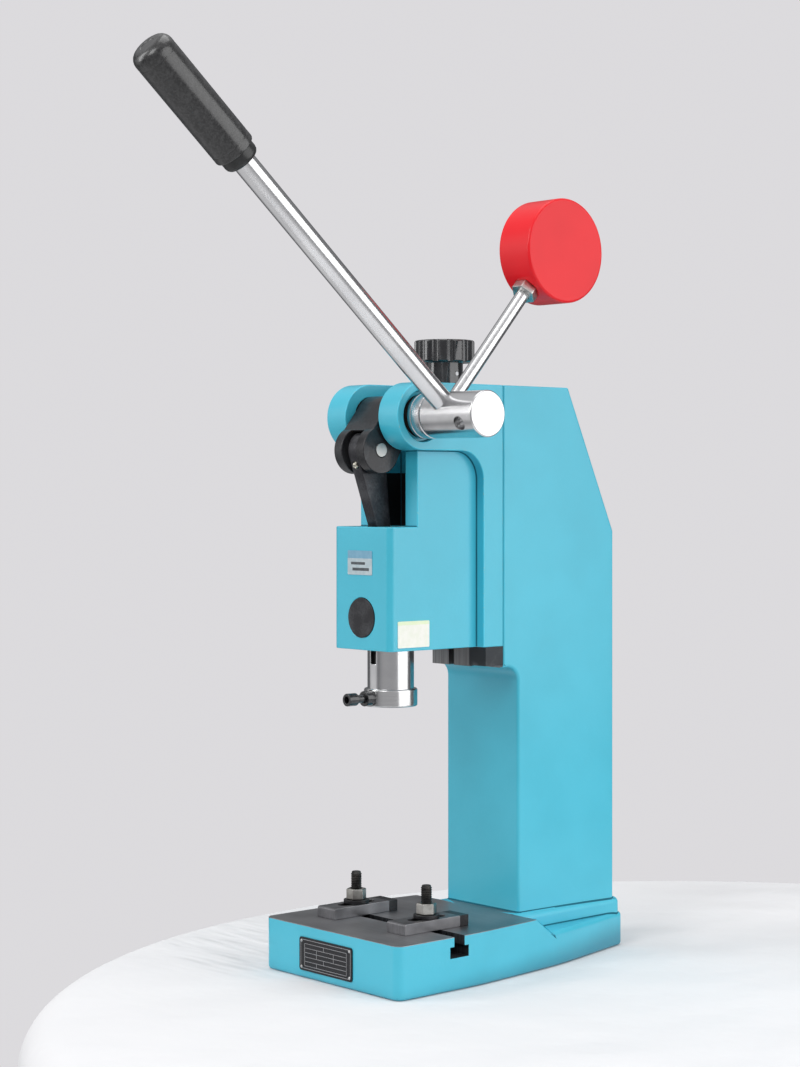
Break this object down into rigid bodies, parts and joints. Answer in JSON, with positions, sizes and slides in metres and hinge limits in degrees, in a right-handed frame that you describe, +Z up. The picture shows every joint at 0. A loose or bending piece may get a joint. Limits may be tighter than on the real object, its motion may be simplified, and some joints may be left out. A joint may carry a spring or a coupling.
{
  "type": "bench toggle press",
  "caption": "Bench toggle press: side lever with grip and balance weight turns a crank, a link drives a guided ram above a slotted table.",
  "frame": {"origin": "the point of the base's underside below the ram's axis", "axes": "+X towards the lever side, +Y from the operator towards the column, +Z up along the ram axis"},
  "size_m": [0.1819, 0.4753, 0.6407],
  "materials": {
    "casting_paint": "smooth satin enamel",
    "label_film": "matt film",
    "label_dark": "satin print on metal",
    "machined_steel": "ground",
    "polished_steel": "polished",
    "zinc_steel": "zinc plated",
    "black_steel": "black oxide, satin",
    "clamp_steel": "dark oxide",
    "bearing_bronze": "turned",
    "red_enamel": "gloss enamel",
    "grip_plastic": "fine texture"
  },
  "bodies": {
    "frame": {"base_column": "casting_paint", "slide_rail": "machined_steel", "rail_screws": "zinc_steel", "lift_nut": "machined_steel", "lift_nut_screws": "zinc_steel", "nameplate": "label_dark", "nameplate_rivets": "zinc_steel"},
    "head": {"head_casting": "casting_paint", "shaft_bush_left": "bearing_bronze", "shaft_bush_right": "bearing_bronze", "thrust_bush": "bearing_bronze", "gib": "clamp_steel", "gib_screws": "black_steel", "head_lock_screws": "black_steel", "guide_plug": "black_steel", "ram_guide_pin": "machined_steel", "front_label": "label_film", "side_label": "label_film"},
    "knob": {"adjust_knob": "black_steel", "lead_screw": "machined_steel", "knob_pin": "machined_steel"},
    "crankshaft": {"main_shaft": "machined_steel", "hub_collar": "machined_steel", "crank_arm": "black_steel", "crank_key": "machined_steel", "crank_pin": "polished_steel", "lever_rod": "polished_steel", "lever_grip": "grip_plastic", "grip_ferrule": "black_steel", "balance_rod": "polished_steel", "jam_nut": "polished_steel", "balance_weight": "red_enamel", "end_cap": "black_steel", "end_cap_screw": "black_steel"},
    "link": {"toggle_link": "black_steel", "link_bush": "bearing_bronze", "link_oiler": "bearing_bronze", "ram_pin": "machined_steel"},
    "ram": {"ram": "machined_steel", "nose_collar": "machined_steel", "tool_clamp_screw": "black_steel", "clamp_lock_nut": "black_steel"},
    "left_clamp": {"left_t_bolt": "clamp_steel", "left_washer": "clamp_steel", "left_nut": "clamp_steel"},
    "left_strap": {"left_strap": "clamp_steel", "left_heel": "black_steel", "left_heel_pin": "zinc_steel"},
    "right_clamp": {"right_t_bolt": "clamp_steel", "right_washer": "clamp_steel", "right_nut": "clamp_steel"},
    "right_strap": {"right_strap": "clamp_steel", "right_heel": "black_steel", "right_heel_pin": "zinc_steel"}
  },
  "joints": [
    {"name": "head_slide", "type": "slide", "parent": "frame", "child": "head", "axis": [0, 0, 1], "range_m": [-0.08, 0]},
    {"name": "knob_spin", "type": "hinge", "parent": "head", "child": "knob", "pos_m": [0, 0.053, 0.447], "axis": [0, 0, 1], "range_deg": [-7300, 7300]},
    {"name": "lever_turn", "type": "hinge", "parent": "head", "child": "crankshaft", "pos_m": [0, -0.0034, 0.4055], "axis": [1, 0, 0], "range_deg": [-50, 38]},
    {"name": "link_swing", "type": "hinge", "parent": "crankshaft", "child": "link", "pos_m": [0, -0.0231, 0.38117], "axis": [1, 0, 0], "range_deg": [-46, 60.5]},
    {"name": "ram_slide", "type": "slide", "parent": "head", "child": "ram", "axis": [0, 0, 1], "range_m": [-0.017, 0.0225]},
    {"name": "left_clamp_slide", "type": "slide", "parent": "frame", "child": "left_clamp", "axis": [1, 0, 0], "range_m": [-0.025, 0.008]},
    {"name": "left_strap_swivel", "type": "hinge", "parent": "left_clamp", "child": "left_strap", "pos_m": [-0.039, 0, 0.042], "axis": [0, 0, 1], "range_deg": [-20, 20]},
    {"name": "right_clamp_slide", "type": "slide", "parent": "frame", "child": "right_clamp", "axis": [1, 0, 0], "range_m": [-0.008, 0.025]},
    {"name": "right_strap_swivel", "type": "hinge", "parent": "right_clamp", "child": "right_strap", "pos_m": [0.039, 0, 0.042], "axis": [0, 0, 1], "range_deg": [-20, 20]}
  ],
  "couplings": [
    {"joint": "link_swing", "follows": "lever_turn", "ratio": -1.195},
    {"joint": "ram_slide", "follows": "lever_turn", "m_per_rad": -0.025},
    {"joint": "knob_spin", "follows": "head_slide", "rad_per_m": 1570.8}
  ]
}
